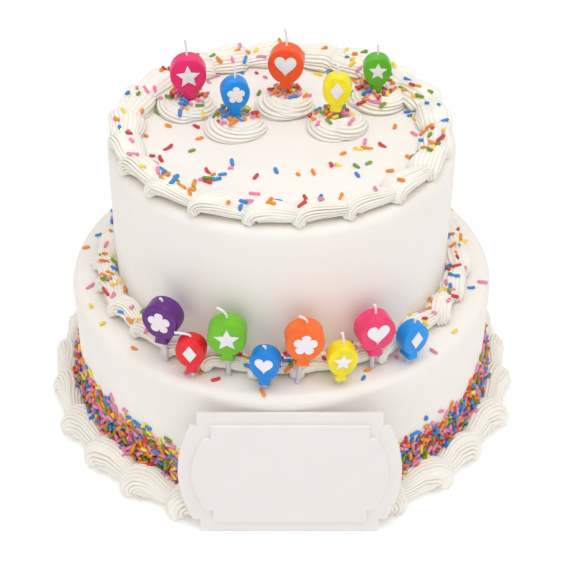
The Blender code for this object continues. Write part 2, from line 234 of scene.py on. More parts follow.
def spline(knots, t):
    """A point on a Catmull-Rom curve through the knots, t from 0 to 1."""
    knots = np.asarray(knots, float)
    spans = len(knots) - 1
    at = min(t * spans, spans - 1e-9)
    i = int(at)
    u = at - i
    p = [knots[max(0, min(spans, i + k))] for k in (-1, 0, 1, 2)]
    return 0.5 * (
        2 * p[1] + (p[2] - p[0]) * u + (2 * p[0] - 5 * p[1] + 4 * p[2] - p[3]) * u**2
        + (3 * p[1] - 3 * p[2] + p[3] - p[0]) * u**3
    )


def piped(path, girth, draw, *, teeth, stations, depth, twist=0.0, squash=1.0, lobes=0.0):
    """A rope of cream from a star tip: a finely toothed section swept along a path, closed at both ends.

    path and girth are functions of 0..1. The section keeps a steady side, so the ridges run along the rope.
    lobes makes its first end ragged. It returns points, faces and each point's groove depth.
    """
    per_tooth = 4
    around = teeth * per_tooth
    theta = np.arange(around) / around * math.tau
    ridge = np.abs(np.cos(teeth * theta / 2)) ** 0.85
    tooth = np.round(np.arange(around) / per_tooth).astype(int) % teeth
    tall = ridge * np.array([draw.uniform(0.55, 1.3) for _ in range(teeth)])[tooth]
    fades = np.array([draw.uniform(0, math.tau) for _ in range(teeth)])[tooth]
    turn = draw.uniform(0, math.tau / teeth)
    lump, sway = draw.uniform(0, math.tau), draw.uniform(0, math.tau)
    rings, grooves = [], []
    hint = np.array((0.0, 1.0, 0.0))
    for n in range(stations + 1):
        t = n / stations
        here = path(t)
        ahead = path(min(1, t + 0.01)) - path(max(0, t - 0.01))
        tangent = ahead / (np.linalg.norm(ahead) + 1e-12)
        side = hint - tangent * hint.dot(tangent)
        side /= np.linalg.norm(side) + 1e-12
        hint = side
        up = np.cross(tangent, side)
        cutting = depth * (1 + 0.45 * np.sin(5 * t + fades))
        r = girth(t) * (1 - cutting + cutting * tall) * (1 + 0.035 * np.sin(2 * theta + 7 * t + lump))
        r = r * (1 + lobes * (1 - smoothstep(t / 0.3)) * np.sin(7 * theta + 2 * np.sin(2 * theta) + lump))
        a = theta + turn + twist * t + 0.10 * math.sin(6 * t + sway)
        rings.append(here + np.outer(r * np.cos(a), side) + np.outer(r * np.sin(a) * squash, up))
        # Groove depth with a slow wave along the rope; the cream paints its groove shade by it.
        grooves.append((1 - ridge) * (0.75 + 0.25 * np.sin(5 * t + fades)))
    points, faces = lofted(rings)
    return np.array(points), faces, np.concatenate(grooves)


def shader(name):
    look = bpy.data.materials.new(name)
    look.use_nodes = True
    tree = look.node_tree
    return look, tree, tree.nodes["Principled BSDF"]


def noise(tree, scale, detail=3.0, rough=0.5, stretch=None, distort=0.0):
    """A noise texture in object space. stretch scales its axes."""
    coords = tree.nodes.new("ShaderNodeTexCoord")
    out = coords.outputs["Object"]
    if stretch:
        mapping = tree.nodes.new("ShaderNodeMapping")
        mapping.inputs["Scale"].default_value = stretch
        tree.links.new(out, mapping.inputs["Vector"])
        out = mapping.outputs["Vector"]
    node = tree.nodes.new("ShaderNodeTexNoise")
    node.inputs["Scale"].default_value = scale
    node.inputs["Detail"].default_value = detail
    node.inputs["Roughness"].default_value = rough
    node.inputs["Distortion"].default_value = distort
    tree.links.new(out, node.inputs["Vector"])
    return node.outputs["Fac"]


def ramp(tree, fac, stops):
    """A colour ramp between two stops, each a position and a colour."""
    node = tree.nodes.new("ShaderNodeValToRGB")
    for element, (place, colour) in zip(node.color_ramp.elements, stops):
        element.position = place
        element.color = (*colour, 1)
    tree.links.new(fac, node.inputs["Fac"])
    return node.outputs["Color"]


def bumped(tree, principled, layers):
    """Bump layers: height output, strength and distance in metres."""
    last = None
    for height, strength, distance in layers:
        node = tree.nodes.new("ShaderNodeBump")
        node.inputs["Strength"].default_value = strength
        node.inputs["Distance"].default_value = distance
        tree.links.new(height, node.inputs["Height"])
        if last:
            tree.links.new(last, node.inputs["Normal"])
        last = node.outputs["Normal"]
    tree.links.new(last, principled.inputs["Normal"])


def roughened(tree, principled, fac, low, high):
    """Roughness that follows a noise between two values."""
    node = tree.nodes.new("ShaderNodeMapRange")
    node.inputs["To Min"].default_value = low
    node.inputs["To Max"].default_value = high
    tree.links.new(fac, node.inputs["Value"])
    tree.links.new(node.outputs["Result"], principled.inputs["Roughness"])


def scattered(principled, weight, radius, scale):
    """Light that enters and spreads under the surface."""
    principled.inputs["Subsurface Weight"].default_value = weight
    principled.inputs["Subsurface Radius"].default_value = radius
    principled.inputs["Subsurface Scale"].default_value = scale


def icing_look():
    """Icing smoothed by hand: faint level sweeps and a fine grain."""
    look, tree, base = shader("smooth_icing")
    cloud = noise(tree, 22, 2, 0.5)
    colour = ramp(tree, cloud, [(0.3, (0.905, 0.86, 0.805)), (0.7, (0.94, 0.90, 0.85))])
    tree.links.new(colour, base.inputs["Base Color"])
    sweep = noise(tree, 90, 2, 0.5, stretch=(0.12, 0.12, 1.0))
    grain = noise(tree, 1400, 3, 0.6)
    bumped(tree, base, [(sweep, 0.10, 0.0012), (grain, 0.12, 0.0002)])
    roughened(tree, base, cloud, 0.42, 0.56)
    scattered(base, 0.25, (1.0, 0.8, 0.55), 0.004)
    base.inputs["Specular IOR Level"].default_value = 0.35
    return look


def cream_look():
    """Piped cream: near white on the ridges, with a warm shade painted down in the grooves."""
    look, tree, base = shader("piped_cream")
    cloud = noise(tree, 60, 2, 0.5)
    ridge = ramp(tree, cloud, [(0.3, (0.95, 0.91, 0.83)), (0.7, (0.975, 0.945, 0.875))])
    groove = tree.nodes.new("ShaderNodeAttribute")
    groove.attribute_name = "groove"
    # Painted shade: the deeper a point lies in a groove, the more the cream turns to a warm, darker tone,
    # in place of the shade that falls there.
    depth = ramp(tree, groove.outputs["Fac"], [(0.3, (0, 0, 0)), (1.0, (0.95, 0.95, 0.95))])
    cream_with_painted_shade = tree.nodes.new("ShaderNodeMixRGB")
    cream_with_painted_shade.inputs["Color2"].default_value = (0.91, 0.79, 0.56, 1)
    tree.links.new(depth, cream_with_painted_shade.inputs["Fac"])
    tree.links.new(ridge, cream_with_painted_shade.inputs["Color1"])
    tree.links.new(cream_with_painted_shade.outputs["Color"], base.inputs["Base Color"])
    grain = noise(tree, 900, 4, 0.6)
    drag = noise(tree, 260, 2, 0.5, distort=0.6)
    bumped(tree, base, [(drag, 0.16, 0.0006), (grain, 0.18, 0.0002)])
    roughened(tree, base, grain, 0.40, 0.58)
    scattered(base, 0.2, (1.0, 0.78, 0.45), 0.003)
    base.inputs["Specular IOR Level"].default_value = 0.35
    return look


def strand_look(name):
    """Pressed sugar in one colour."""
    look, tree, base = shader("strand_" + name)
    tone = STRAND_COLOURS[name]
    cloud = noise(tree, 240, 2, 0.5)
    pale = tuple(min(1.0, c * 1.12 + 0.015) for c in tone)
    deep = tuple(c * 0.88 for c in tone)
    tree.links.new(ramp(tree, cloud, [(0.3, deep), (0.7, pale)]), base.inputs["Base Color"])
    grain = noise(tree, 2600, 3, 0.6)
    bumped(tree, base, [(grain, 0.25, 0.00012)])
    roughened(tree, base, grain, 0.34, 0.55)
    scattered(base, 0.15, (1.0, 1.0, 1.0), 0.001)
    base.inputs["Specular IOR Level"].default_value = 0.4
    return look


def wax_look(name):
    """Candle wax in one colour, faintly dented."""
    look, tree, base = shader("wax_" + name)
    tone = WAX_COLOURS[name]
    cloud = noise(tree, 130, 3, 0.5)
    pale = tuple(min(1.0, c * 1.08 + 0.006) for c in tone)
    deep = tuple(c * 0.92 for c in tone)
    tree.links.new(ramp(tree, cloud, [(0.3, deep), (0.7, pale)]), base.inputs["Base Color"])
    grain = noise(tree, 1500, 3, 0.55)
    dents = noise(tree, 170, 2, 0.5)
    bumped(tree, base, [(dents, 0.12, 0.0005), (grain, 0.16, 0.00015)])
    roughened(tree, base, grain, 0.25, 0.42)
    scattered(base, 0.25, (1.0, 1.0, 1.0), 0.002)
    base.inputs["Specular IOR Level"].default_value = 0.36
    return look


def plain_look(name, low, high, grain_scale, rough, subsurface, strength=0.15, distance=0.0001):
    """A smooth moulded surface between two tones, with a fine grain."""
    look, tree, base = shader(name)
    cloud = noise(tree, 70, 3, 0.5)
    tree.links.new(ramp(tree, cloud, [(0.3, low), (0.7, high)]), base.inputs["Base Color"])
    grain = noise(tree, grain_scale, 3, 0.6)
    bumped(tree, base, [(grain, strength, distance)])
    roughened(tree, base, grain, rough - 0.06, rough + 0.08)
    scattered(base, subsurface, (1.0, 0.9, 0.8), 0.002)
    return look


def pick_look():
    """Moulded clear plastic, with a touch of violet."""
    look, tree, base = shader("clear_pick")
    cloud = noise(tree, 120, 2, 0.5)
    colour = ramp(tree, cloud, [(0.3, (0.86, 0.82, 0.94)), (0.7, (0.94, 0.91, 0.98))])
    tree.links.new(colour, base.inputs["Base Color"])
    grain = noise(tree, 900, 2, 0.5)
    bumped(tree, base, [(grain, 0.12, 0.0001)])
    roughened(tree, base, grain, 0.12, 0.28)
    base.inputs["Transmission Weight"].default_value = 0.3
    base.inputs["IOR"].default_value = 1.45
    return look


def wick_look():
    """A twisted cotton cord."""
    look, tree, base = shader("cotton_wick")
    fuzz = noise(tree, 1500, 3, 0.6)
    colour = ramp(tree, fuzz, [(0.3, (0.84, 0.82, 0.83)), (0.7, (0.95, 0.94, 0.95))])
    tree.links.new(colour, base.inputs["Base Color"])
    wave = tree.nodes.new("ShaderNodeTexWave")
    wave.inputs["Scale"].default_value = 420
    wave.bands_direction = "DIAGONAL"
    coords = tree.nodes.new("ShaderNodeTexCoord")
    tree.links.new(coords.outputs["Object"], wave.inputs["Vector"])
    bumped(tree, base, [(wave.outputs["Fac"], 0.5, 0.0002), (fuzz, 0.3, 0.0002)])
    roughened(tree, base, fuzz, 0.75, 0.92)
    return look


ICING = icing_look()
CREAM = cream_look()
STRANDS = {name: strand_look(name) for name in STRAND_COLOURS}
PICK = pick_look()
WICK = wick_look()
MARK = plain_look("white_wax", (0.86, 0.82, 0.86), (0.93, 0.90, 0.93), 1300, 0.4, 0.2)
PLAQUE = plain_look("moulded_plaque", (0.845, 0.80, 0.785), (0.86, 0.816, 0.80), 1600, 0.42, 0.15, 0.10,
                    0.00008)


def tier(name, node, radius, floor, height, seed):
    """A hand-smoothed iced cylinder: a turned profile with slight dips and a softened edge."""
    around = 320
    outline = [(radius * share, floor) for share in (0.0, 0.5, 0.97)]
    wall = 26
    for step in range(wall + 1):
        outline.append((radius, floor + (height - TIER_EDGE) * step / wall))
    for step in range(1, 9):
        angle = math.pi / 2 * step / 8
        up = floor + height - TIER_EDGE + TIER_EDGE * math.sin(angle)
        outline.append((radius - TIER_EDGE + TIER_EDGE * math.cos(angle), up))
    for share in (0.93, 0.86, 0.76, 0.64, 0.5, 0.36, 0.22, 0.1, 0.0):
        outline.append(((radius - TIER_EDGE) * share, floor + height))
    draw = random.Random(seed)
    waves = []
    for _ in range(14):
        cycles, phase = draw.randint(2, 17), draw.uniform(0, math.tau)
        waves.append((cycles, phase, draw.uniform(20, 90), draw.uniform(0, 6)))
    rings = []
    for r, z in outline:
        share = min(1.0, max(0.0, (z - floor) / height))
        ring = []
        for k in range(around):
            a = math.tau * k / around
            dent = 0.0
            for cycles, phase, pitch, lift in waves:
                dent += math.sin(cycles * a + phase) * math.cos(pitch * z + lift)
            dent *= WALL_DENT
            grow = 1 + dent / radius * (1 if z > floor else 0)
            top = TOP_DIP * math.sin(3 * a + 1.7) * smoothstep(share * 6 - 5) * (r / radius)
            ring.append(polar(r * grow, a, z + (top - TOP_DIP if z > floor + height * 0.8 else 0)))
        rings.append(ring)
    obj = mesh_object(name, *lofted(rings, caps=False), ICING)
    faced_out(obj, weld=1e-6)
    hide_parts(node)
    return obj


def placed(points, angle, radius, floor):
    """Points given along, outward and up, set at an angle round the cake."""
    points = np.asarray(points)
    along, out, up = points[:, 0], points[:, 1], points[:, 2]
    a = angle + along / radius
    r = radius + out
    return np.stack((r * np.sin(a), -r * np.cos(a), floor + up), axis=1)


def eased_ends(t, first, last):
    """A factor that rounds off a rope's two ends."""
    return min(1.0, math.sqrt(max(1e-4, t / first))) * min(1.0, math.sqrt(max(1e-4, (1 - t) / last)))


def shell(pitch, width, height, draw, teeth, stations, depth, hook, swell, lobes):
    """One piped shell along +X: a ridged head that wells up at its outer side, and a tail under the next.

    swell runs from 0, an even rope, to 1, a full head on a thin tail.
    """
    start = 0.45 * height / pitch - 0.06
    lean = hook * width * draw.uniform(0.75, 1.25)
    knots = np.array((
        ((start + 0.03) * pitch, 0.50 * lean, 0.04 * height),
        ((start - 0.04) * pitch, 0.42 * lean, 0.27 * height),
        ((start + 0.08) * pitch, 0.14 * lean, 0.48 * height),
        ((start + 0.32) * pitch, -0.04 * lean, 0.50 * height),
        (0.76 * pitch, 0.03 * width, 0.45 * height),
        (1.02 * pitch, 0.05 * width, 0.36 * height),
        (1.27 * pitch, 0.05 * width, 0.25 * height),
    ))
    full = (0.74, 0.98, 1.09, 1.02, 0.87, 0.70, 0.48)
    even = (0.70, 0.86, 0.95, 0.96, 0.93, 0.85, 0.62)
    girths = [(swell * f + (1 - swell) * e,) for f, e in zip(full, even)]

    def path(t):
        return spline(knots, t)

    def girth(t):
        return max(0.02, spline(girths, t)[0] * eased_ends(t, 0.01, 0.08)) * width * 0.5

    return piped(path, girth, draw, teeth=teeth, stations=stations, depth=depth,
                 twist=draw.uniform(-0.2, 0.4), squash=height / width * 1.02, lobes=lobes)


def ring_of_shells(name, node, shells, phase, radius, floor, size, *, seed, teeth, depth, hook, swell,
                   lobes, mirrored=False, fit=None):
    """A border of shells, each head over the next one's tail.

    mirrored turns those right of the front round. fit presses the points clear of a neighbour.
    """
    draw = random.Random(seed)
    heap = Heap()
    width, height = size
    pitch = math.tau / shells
    stations = 30
    for n in range(shells):
        grow = draw.uniform(0.93, 1.04)
        long = pitch * radius
        points, faces, grooves = shell(long, width * grow, height * grow, draw, teeth, stations, depth,
                                       hook, swell, lobes)
        angle = phase + pitch * (n + draw.uniform(-0.07, 0.07))
        if mirrored and math.sin(angle + pitch / 2) > 0:
            points[:, 0] = long - points[:, 0]
            faces = [face[::-1] for face in faces]
        spin = np.array(Matrix.Rotation(draw.uniform(-0.09, 0.09), 3, "Z"))
        middle = np.array((long / 2, 0, 0))
        points = placed((points - middle) @ spin.T + middle, angle, radius, floor)
        points[:, 2] = np.maximum(points[:, 2], floor + 0.05 * MM - edge_drop(points, node))
        if fit:
            points = fit(points)
        heap.add(points, faces, grooves)
    obj = heap.object(name, CREAM)
    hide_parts(node)
    return obj


def edge_drop(points, node):
    """How far the rim's piping may settle over the upper tier's rounded edge."""
    if node != "rim_border":
        return 0.0
    past = np.hypot(points[:, 0], points[:, 1]) - (UPPER_RADIUS - TIER_EDGE)
    past = np.clip(past, 0, 0.92 * TIER_EDGE)
    return TIER_EDGE - np.sqrt(TIER_EDGE**2 - past**2)


def behind_plaque(points):
    """Presses the base border in where the plaque leans on it."""
    back = PLAQUE_FOOT - PLAQUE_FLANGE / math.cos(PLAQUE_LEAN) - 0.2 * MM
    limit = back - points[:, 2] * math.tan(PLAQUE_LEAN)
    near = (np.abs(points[:, 0] - PLAQUE_ASIDE) < PLAQUE_CORNER + PLAQUE_BOW) & (points[:, 1] < -limit)
    points[near, 1] = -limit[near]
    return points


def rosette(name, node, x, y, seed):
    """A star-piped swirl: a wide, low coil of finely ridged cream that ends on the outside."""
    draw = random.Random(seed)
    radius, height = ROSETTE_RADIUS, ROSETTE_HEIGHT
    start, sway = draw.uniform(0, math.tau), draw.uniform(0, math.tau)
    heap = Heap()

    def path(t):
        turn = start + math.tau * ROSETTE_TURNS * t
        out = radius * (0.10 + 0.51 * smoothstep(t / 0.55)) * (1 + 0.05 * math.sin(14 * t + sway))
        up = height * (0.60 - 0.19 * smoothstep(t / 0.5))
        return np.array((out * math.cos(turn), out * math.sin(turn), up))

    def girth(t):
        uneven = 1 + 0.09 * math.sin(31 * t + sway) - 0.1 * smoothstep((t - 0.8) / 0.2)
        return max(0.0006, radius * 0.42 * eased_ends(t, 0.05, 0.08) * uneven)

    stations = 120
    heap.add(*piped(path, girth, draw, teeth=15, stations=stations, depth=0.22, twist=4.5, squash=0.53))
    points = heap.stacked()
    points[:, 0] += x * MM
    points[:, 1] += y * MM
    points[:, 2] = np.maximum(points[:, 2], 0.1 * MM) + UPPER_TOP
    obj = heap.object(name, CREAM, points)
    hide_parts(node)
    return obj


def strand_template(length, radius, bend, sides=7):
    """A rod with round ends along X, bowed by bend."""
    profile = [(-0.5 * length, 0.0)]
    for degrees in (25, 55, 90):
        a = math.radians(degrees)
        profile.append((-0.5 * length + radius * (1 - math.cos(a)), radius * math.sin(a)))
    profile.append((0.0, radius))
    profile += [(-x, r) for x, r in reversed(profile[:-1])]
    points = [(profile[0][0], 0.0, 0.0)]
    for x, r in profile[1:-1]:
        for k in range(sides):
            a = math.tau * k / sides
            points.append((x, r * math.cos(a), r * math.sin(a)))
    points.append((profile[-1][0], 0.0, 0.0))
    points = np.array(points)
    points[:, 1] += bend * (1 - (points[:, 0] / (0.5 * length)) ** 2)
    faces = []
    rings = len(profile) - 2
    for k in range(sides):
        faces.append((0, 1 + (k + 1) % sides, 1 + k))
    for i in range(rings - 1):
        for k in range(sides):
            after = (k + 1) % sides
            here, there = 1 + i * sides, 1 + (i + 1) * sides
            faces.append((here + k, here + after, there + after, there + k))
    last = len(points) - 1
    first = 1 + (rings - 1) * sides
    for k in range(sides):
        faces.append((first + k, first + (k + 1) % sides, last))
    return points, faces


class Strands:
    """All sugar strands, one heap to a colour, laid by a seeded rule."""

    def __init__(self, seed):
        self.draw = random.Random(seed)
        self.heaps = {name: Heap() for name in STRAND_COLOURS}
        self.names = list(STRAND_SHARES)
        self.shares = list(STRAND_SHARES.values())
        self.total = 0

    def lay(self, at, normal, lift, tilt):
        """Lays one strand on a surface point. lift is how far its axis stands off, in its radius."""
        draw = self.draw
        length = draw.choice(STRAND_LENGTHS) * MM * draw.uniform(0.94, 1.06)
        radius = draw.uniform(1.05, 1.22) * MM
        bend = draw.choice(STRAND_BENDS) * MM
        points, faces = strand_template(length, radius, bend)
        normal = Vector(normal).normalized()
        side = normal.orthogonal().normalized()
        side.rotate(Matrix.Rotation(draw.uniform(0, math.tau), 3, normal))
        lean = (side + normal * draw.uniform(-tilt, tilt)).normalized()
        third = normal.cross(lean).normalized()
        up = lean.cross(third)
        basis = np.array((lean, third, up))
        centre = np.array(Vector(at) + normal * radius * lift)
        name = draw.choices(self.names, self.shares)[0]
        self.heaps[name].add(points @ basis + centre, faces)
        self.total += 1

    def finish(self):
        """Makes one mesh of each colour's heap."""
        for name, heap in self.heaps.items():
            obj = heap.object("strands_" + name, STRANDS[name])


def surface(objects):
    """One ray-cast tree over several objects."""
    points, faces, count = [], [], 0
    for obj in objects:
        points += [v.co.copy() for v in obj.data.vertices]
        faces += [tuple(i + count for i in p.vertices) for p in obj.data.polygons]
        count = len(points)
    return BVHTree.FromPolygons(points, faces)


class Spacing:
    """Keeps seeded places a least distance apart."""

    def __init__(self, least):
        self.least, self.cells = least, {}

    def clear(self, p):
        """Whether a place is clear of all others. A clear place is kept."""
        key = tuple(int(math.floor(c / self.least)) for c in p)
        for dx in (-1, 0, 1):
            for dy in (-1, 0, 1):
                for dz in (-1, 0, 1):
                    for q in self.cells.get((key[0] + dx, key[1] + dy, key[2] + dz), ()):
                        if (q - p).length < self.least:
                            return False
        self.cells.setdefault(key, []).append(p.copy())
        return True


def band_top(angle):
    """How high the strand band reaches at an angle round the lower tier."""
    wave = math.sin(5 * angle + 0.6) + 0.7 * math.sin(9 * angle + 2.0) + 0.5 * math.sin(17 * angle)
    return (42.5 + 2.6 * wave) * MM


def lay_band(tree, strands):
    """The thick band on the lower tier's wall, down into the notches between the base shells."""
    draw = strands.draw
    for layer, (tries, least, lift, tilt) in enumerate(BAND_LAYERS):
        spacing = Spacing(least * MM)
        for _ in range(tries):
            angle = draw.uniform(0, math.tau)
            top = band_top(angle) - layer * 6 * MM
            z = draw.uniform(5 * MM, top + 3 * MM)
            if draw.random() < (z - (top - 5 * MM)) / (8 * MM):
                continue
            start = polar(LOWER_RADIUS + 24 * MM, angle, z + 18 * MM)
            aim = polar(LOWER_RADIUS, angle, z)
            hit, normal, _, _ = tree.ray_cast(start, (aim - start).normalized())
            if hit is None or math.hypot(hit.x, hit.y) > LOWER_RADIUS + (5.5 - layer) * MM:
                continue
            if not spacing.clear(hit):
                continue
            if normal.dot(aim - start) > 0:
                normal = -normal
            strands.lay(hit, normal, lift, tilt)
    for _ in range(40):
        angle = draw.uniform(0, math.tau)
        z = band_top(angle) + abs(draw.gauss(0, 5)) * MM
        strands.lay(polar(LOWER_RADIUS, angle, min(z, 80 * MM)), polar(1, angle, 0), 0.5, 0.05)


def drop(tree, strands, x, y, high, tilt=0.25, lift=0.45):
    """Lays a strand where it lands when dropped at x, y, unless that place is too steep."""
    hit, normal, _, _ = tree.ray_cast(Vector((x, y, high)), Vector((0, 0, -1)))
    if hit is None:
        return False
    if normal.z < 0:
        normal = -normal
    if normal.z < 0.45:
        return False
    strands.lay(hit, normal, lift, tilt)
    return True


def lay_ring(tree, strands, spacing, ceiling, *, count, low, high, clusters):
    """Strands dropped on a ring between two radii, some in loose clusters."""
    draw = strands.draw
    laid = 0
    tries = 0
    centre = 0.0
    while laid < count and tries < count * 12:
        tries += 1
        if draw.random() > clusters or not laid:
            centre = draw.uniform(0, math.tau)
        angle = centre + draw.gauss(0, 0.045)
        radius = draw.uniform(low, high)
        p = polar(radius, angle, ceiling)
        if not spacing.clear(Vector((p.x, p.y, 0))):
            continue
        if drop(tree, strands, p.x, p.y, ceiling):
            laid += 1


def lay_rosette(tree, strands, spot, least, count):
    """Strands heaped round a candle's foot and spilt down the rosette."""
    draw = strands.draw
    laid = 0
    for spread, share, tilt, lift in ((5.2, 0.7, 0.3, 0.6), (2.2, 1, 0.6, 2.3)):
        spacing = Spacing(2.3 * MM)
        for _ in range(count * 8):
            if laid >= count * share:
                break
            out = (least + abs(draw.gauss(0, spread))) * MM
            if out > 20 * MM:
                continue
            a = draw.uniform(0, math.tau)
            px, py = spot[0] * MM + out * math.cos(a), spot[1] * MM + out * math.sin(a)
            if not spacing.clear(Vector((px, py, 0))):
                continue
            if drop(tree, strands, px, py, UPPER_TOP + 40 * MM, tilt, lift):
                laid += 1


def balloon_outline(size, steps=30):
    """A balloon's outline: a flared stub, a tapered lower half and a round upper half."""
    half, rise, neck, stub = size["width"] / 2, size["height"], size["neck"], size["stub"]
    below = rise - half
    start = math.asin(min(1, neck * 0.82 / half))
    right = [(neck, 0), (neck * 0.97, stub * 0.25), (neck * 0.87, stub * 0.6), (neck * 0.82, stub)]
    for step in range(1, steps):
        angle = start + (math.pi - start) * step / steps
        x = half * math.sin(angle)
        rise_share = -math.cos(angle)
        up = half * rise_share if rise_share > 0 else below * rise_share * (1 - 0.12 * rise_share)
        right.append((x, stub + below + up))
    return right + [(0, stub + rise)] + [(-x, z) for x, z in reversed(right)]


def offset_outline(outline, inset):
    """The outline moved inward by inset along its own normals. Points at height 0 keep that height."""
    count = len(outline)
    moved = []
    for i in range(count):
        before, here, after = (Vector(outline[(i + k) % count]) for k in (-1, 0, 1))
        one, two = (here - before).normalized(), (after - here).normalized()
        normal = Vector((-one.y - two.y, one.x + two.x))
        if normal.length < 1e-9:
            normal = Vector((-one.y, one.x))
        normal.normalize()
        mitre = max(0.6, normal.dot(Vector((-one.y, one.x))))
        there = here + normal * inset / mitre
        moved.append(Vector((there.x, here.y)) if here.y == 0 else there)
    return moved


def wax_body(name, node, size, place, look):
    """A balloon candle's wax, with eased edges."""
    outline = balloon_outline(size)
    thick = size["thick"] / 2
    rings = []
    steps = 6
    for side in (-1, 1):
        levels = []
        for k in range(steps + 1):
            a = math.pi / 2 * k / steps
            levels.append((WAX_EDGE * (1 - math.cos(a)), thick - WAX_EDGE + WAX_EDGE * math.sin(a)))
        if side < 0:
            levels = levels[::-1]
        for inset, depth in levels:
            ring = [Vector((p.x, side * depth, p.y)) for p in offset_outline(outline, inset)]
            rings.append(ring)
    points, faces = lofted(rings)
    points = [place @ p for p in points]
    obj = mesh_object(name, points, faces, look, sharp=60)
    faced_out(obj)
    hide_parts(node)


def mark_outline(kind, size):
    """A plain ornament's outline about its middle: star, heart, flower or diamond."""
    points = []
    if kind == "star":
        for k in range(10):
            r = 1.08 if k % 2 == 0 else 0.50
            a = math.pi / 2 + math.pi * k / 5
            points.append((r * math.cos(a), r * math.sin(a)))
    elif kind == "diamond":
        points = [(0, 1.08), (-0.74, 0), (0, -1.08), (0.74, 0)]
    elif kind == "flower":
        for k in range(60):
            a = math.tau * k / 60
            r = 0.56 + 0.44 * math.sqrt(abs(math.cos(2.5 * a)))
            points.append((r * math.sin(a), r * math.cos(a)))
    else:
        for k in range(48):
            a = math.tau * k / 48
            x = 16 * math.sin(a) ** 3
            y = 13 * math.cos(a) - 5 * math.cos(2 * a) - 2 * math.cos(3 * a) - math.cos(4 * a)
            points.append((-x / 16.5, (y + 2.5) / 15.5))
    return [(x * size, y * size) for x, y in points]


def mark(name, kind, size, place):
    """A white ornament, low and round-edged, on the candle's front."""
    half = size["width"] * MARK_REACH
    middle = size["stub"] + size["height"] - size["width"] / 2 - 0.6 * MM
    outline = mark_outline(kind, half)
    face = size["thick"] / 2
    rings = []
    for grow, proud in ((1.0, -0.5), (1.0, 0.35), (0.95, 0.55), (0.86, 0.62)):
        front = -(face + proud * MM)
        rings.append([place @ Vector((x * grow, front, middle + z * grow)) for x, z in outline])
    obj = mesh_object(name, *lofted(rings), MARK, sharp=40)
    faced_out(obj)


def tube(knots, radii, sides, stations):
    """The rings of a round rod through the knots."""
    rings = []
    side_hint = np.array((0.0, 1.0, 0.0))
    for n in range(stations + 1):
        t = n / stations
        here = spline(knots, t)
        ahead = spline(knots, min(1, t + 0.01)) - spline(knots, max(0, t - 0.01))
        tangent = ahead / np.linalg.norm(ahead)
        side = side_hint - tangent * side_hint.dot(tangent)
        side /= np.linalg.norm(side)
        up = np.cross(tangent, side)
        r = spline([(q,) for q in radii], t)[0]
        ring = []
        for k in range(sides):
            a = math.tau * k / sides
            ring.append(Vector(here + r * (math.cos(a) * side + math.sin(a) * up)))
        rings.append(ring)
    return rings


def wick(name, node, size, end, place):
    """A waxed cord that bends over to its end, measured from the top of the wax."""
    right, up = end[0] * MM, end[1] * MM
    top = size["stub"] + size["height"]
    knots = (
        (0, 0, top - 1.0 * MM),
        (right * 0.06, 0, top + max(up * 0.3, 0.8 * MM)),
        (right * 0.45, 0, top + max(up * 0.72, 1.5 * MM)),
        (right, 0, top + max(up, 1.6 * MM)),
    )
    rings = tube(knots, (0.72 * MM, 0.66 * MM, 0.70 * MM, 0.78 * MM), 12, 16)
    rings = [[place @ p for p in ring] for ring in rings]
    obj = mesh_object(name, *lofted(rings), WICK, sharp=70)
    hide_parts(node)


def pick(name, node, bare, place):
    """A moulded plastic pick with a small collar under the wax."""
    low, high = -PICK_DEPTH / MM, bare / MM
    collar = ((1.35, high - 0.9), (1.5, high - 0.6), (1.5, high - 0.05))
    outline = ((0.6, low), (1.3, low + 3), (1.35, 0), *collar)
    turns = [math.tau * k / 20 for k in range(20)]
    rings = []
    for r, z in outline:
        rings.append([place @ Vector((r * MM * math.cos(a), r * MM * math.sin(a), z * MM)) for a in turns])
    obj = mesh_object(name, *lofted(rings), PICK, sharp=50)
    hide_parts(node)


def candle(name, size, foot, facing, lean, bare, end, kind):
    """One candle: wax, mark, wick and pick, stood at its foot."""
    stand = Matrix.Rotation(math.radians(facing), 4, "Z") @ Matrix.Rotation(math.radians(lean), 4, "Y")
    place = Matrix.Translation(foot) @ stand
    head = place @ Matrix.Translation((0, 0, bare))
    wax_body("candle_" + name + "_wax", "candle_" + name, size, head, wax_look(name))
    mark("mark_" + name, kind, size, head)
    wick("wick_" + name + "_cord", "wick_" + name, size, end, head)
    pick("pick_" + name + "_rod", "pick_" + name, bare, place)


def plaque_outline(inset):
    """The plaque's outline moved inward: notched corners and bowed sides."""
    shoulder, corner = PLAQUE_SHOULDER - inset, PLAQUE_CORNER - inset
    top, low = PLAQUE_HEIGHT - inset, inset
    high_step, low_step = PLAQUE_HEIGHT - PLAQUE_NOTCH - inset, PLAQUE_NOTCH + inset
    side = []
    steps = 28
    for step in range(steps + 1):
        share = step / steps
        bow = PLAQUE_BOW * 4 * share * (1 - share)
        side.append((corner + bow, low_step + (high_step - low_step) * share))
    right = [(shoulder, low), (shoulder, low_step), *side, (shoulder, high_step), (shoulder, top)]
    return right + [(-x, z) for x, z in reversed(right)]


def plaque():
    """The blank moulded plaque: a flange with eased edges and a raised panel with a sloped border."""
    face = PLAQUE_FLANGE / MM
    proud = (PLAQUE_FLANGE + PLAQUE_PANEL) / MM
    margin = PLAQUE_MARGIN / MM
    levels = (
        (0.0, 0.35), (0.12, 0.08), (0.35, 0.0), (face - 0.25, 0.0), (face - 0.08, 0.08), (face, 0.28),
        (face, margin - 0.1), (face + 0.06, margin),
        (proud - 0.25, margin + 0.3), (proud - 0.08, margin + 0.4), (proud, margin + 0.6),
    )
    rings = []
    for depth, inset in levels:
        rings.append([Vector((x, -depth * MM, z)) for x, z in plaque_outline(inset * MM)])
    lean = Matrix.Rotation(-PLAQUE_LEAN, 4, "X")
    place = Matrix.Translation((PLAQUE_ASIDE, -PLAQUE_FOOT + PLAQUE_FLANGE, 0)) @ lean
    rings = [[place @ p for p in ring] for ring in rings]
    obj = mesh_object("plaque_moulding", *lofted(rings), PLAQUE, sharp=28)
    faced_out(obj)
    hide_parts("plaque")


